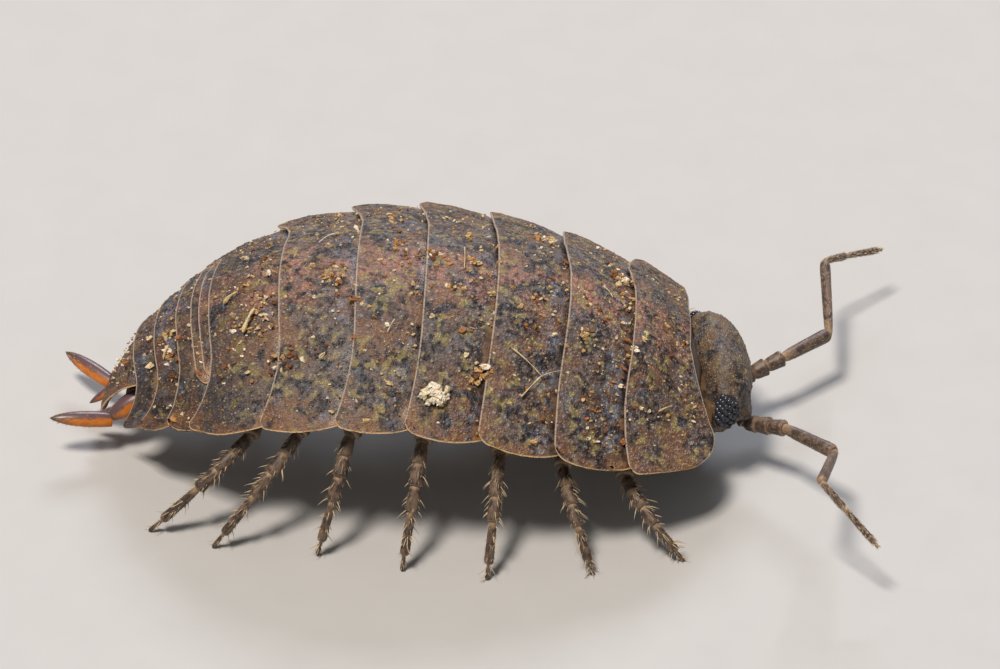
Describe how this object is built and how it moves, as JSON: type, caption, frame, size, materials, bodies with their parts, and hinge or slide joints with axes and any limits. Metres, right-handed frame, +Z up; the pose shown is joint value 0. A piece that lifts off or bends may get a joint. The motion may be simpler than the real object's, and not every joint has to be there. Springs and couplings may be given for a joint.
{
  "type": "woodlouse",
  "caption": "Life-size standing woodlouse with an arched back of overlapping shell plates, jointed feelers, short forked tail and legs with flat soles.",
  "frame": {"origin": "centre of the model's box, on the floor that it stands on", "axes": "+X towards the head, +Y towards the animal's left side, +Z up"},
  "size_m": [0.0168, 0.0098, 0.0045],
  "materials": {
    "shell": "finely granular calcified shell, mottled grey-brown with pale edges",
    "head_shell": "finely granular calcified shell, grey with faint pale spots",
    "eye": "glossy black beads",
    "feeler": "grey-brown cuticle with short pale hairs",
    "leg": "grey-brown translucent cuticle with pale spines",
    "tail_fork": "orange cuticle, violet-grey above",
    "belly": "pale soft cuticle"
  },
  "bodies": {
    "root": {"antenna_left_flagellum": "feeler", "antenna_left_peduncle": "feeler", "antenna_right_flagellum": "feeler", "antenna_right_peduncle": "feeler", "eye_left": "eye", "eye_right": "eye", "head": "head_shell", "leg_left_1": "leg", "leg_left_2": "leg", "leg_left_3": "leg", "leg_left_4": "leg", "leg_left_5": "leg", "leg_left_6": "leg", "leg_left_7": "leg", "leg_right_1": "leg", "leg_right_2": "leg", "leg_right_3": "leg", "leg_right_4": "leg", "leg_right_5": "leg", "leg_right_6": "leg", "leg_right_7": "leg", "mouthparts": "belly", "pereonite_1": "shell", "pereonite_2": "shell", "pereonite_3": "shell", "pereonite_4": "shell", "pereonite_5": "shell", "pereonite_6": "shell", "pereonite_7": "shell", "pleonite_1": "shell", "pleonite_2": "shell", "pleonite_3": "shell", "pleonite_4": "shell", "pleonite_5": "shell", "pleopods": "belly", "telson": "shell", "trunk": "belly", "uropod_left_base": "tail_fork", "uropod_left_inner": "tail_fork", "uropod_left_outer": "tail_fork", "uropod_right_base": "tail_fork", "uropod_right_inner": "tail_fork", "uropod_right_outer": "tail_fork"}
  },
  "joints": []
}
